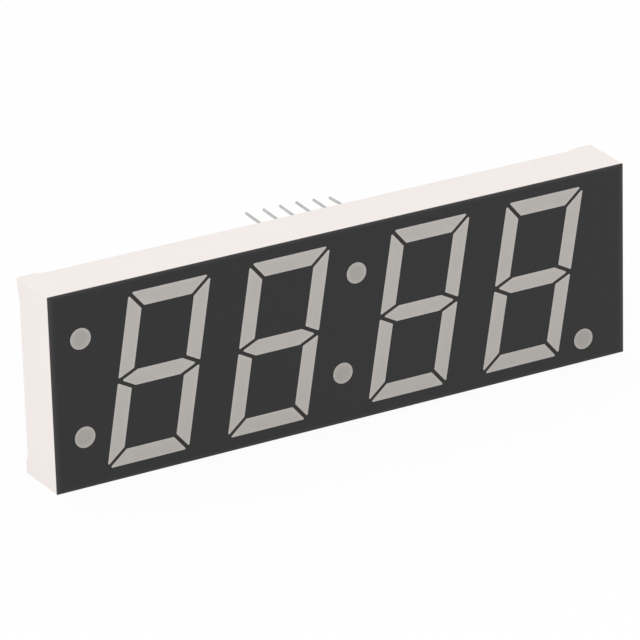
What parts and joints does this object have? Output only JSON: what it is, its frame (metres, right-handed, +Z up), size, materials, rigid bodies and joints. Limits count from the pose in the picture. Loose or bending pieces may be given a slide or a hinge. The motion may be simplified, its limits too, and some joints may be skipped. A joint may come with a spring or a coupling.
{
  "type": "seven-segment led display",
  "caption": "Flat seven-segment LED clock display with slanted digits, a colon and round lights in a black face, a white moulded housing and two rows of pins behind.",
  "frame": {"origin": "centre of the pin field on the plane of the four rear feet, which is the plane of the circuit board the display is soldered to", "axes": "+X to the right along the digits, +Y from the face to the pins, the way the pins point, +Z up"},
  "size_m": [0.0884, 0.0144, 0.028],
  "materials": {
    "housing": "satin moulded white",
    "face_print": "satin black print",
    "light_resin": "milky grey diffused casting resin",
    "rear_resin": "milky poured resin, slightly wavy",
    "board": "glass-fibre laminate",
    "pin": "dull tinned wire",
    "solder": "bright solder",
    "led_chip": "semiconductor die",
    "bond_wire": "fine drawn wire"
  },
  "bodies": {
    "root": {"bond_wires_digit_1": "bond_wire", "bond_wires_digit_2": "bond_wire", "bond_wires_digit_3": "bond_wire", "bond_wires_digit_4": "bond_wire", "bond_wires_dots": "bond_wire", "circuit_board": "board", "colon_dot_lower": "light_resin", "colon_dot_upper": "light_resin", "decimal_point": "light_resin", "digit_1_segment_a": "light_resin", "digit_1_segment_b": "light_resin", "digit_1_segment_c": "light_resin", "digit_1_segment_d": "light_resin", "digit_1_segment_e": "light_resin", "digit_1_segment_f": "light_resin", "digit_1_segment_g": "light_resin", "digit_2_segment_a": "light_resin", "digit_2_segment_b": "light_resin", "digit_2_segment_c": "light_resin", "digit_2_segment_d": "light_resin", "digit_2_segment_e": "light_resin", "digit_2_segment_f": "light_resin", "digit_2_segment_g": "light_resin", "digit_3_segment_a": "light_resin", "digit_3_segment_b": "light_resin", "digit_3_segment_c": "light_resin", "digit_3_segment_d": "light_resin", "digit_3_segment_e": "light_resin", "digit_3_segment_f": "light_resin", "digit_3_segment_g": "light_resin", "digit_4_segment_a": "light_resin", "digit_4_segment_b": "light_resin", "digit_4_segment_c": "light_resin", "digit_4_segment_d": "light_resin", "digit_4_segment_e": "light_resin", "digit_4_segment_f": "light_resin", "digit_4_segment_g": "light_resin", "face_mask": "face_print", "housing": "housing", "led_chips_digit_1": "led_chip", "led_chips_digit_2": "led_chip", "led_chips_digit_3": "led_chip", "led_chips_digit_4": "led_chip", "led_chips_dots": "led_chip", "left_dot_lower": "light_resin", "left_dot_upper": "light_resin", "pin_1": "pin", "pin_10": "pin", "pin_11": "pin", "pin_12": "pin", "pin_2": "pin", "pin_3": "pin", "pin_4": "pin", "pin_5": "pin", "pin_6": "pin", "pin_7": "pin", "pin_8": "pin", "pin_9": "pin", "rear_resin": "rear_resin", "solder_joints": "solder"}
  },
  "joints": []
}
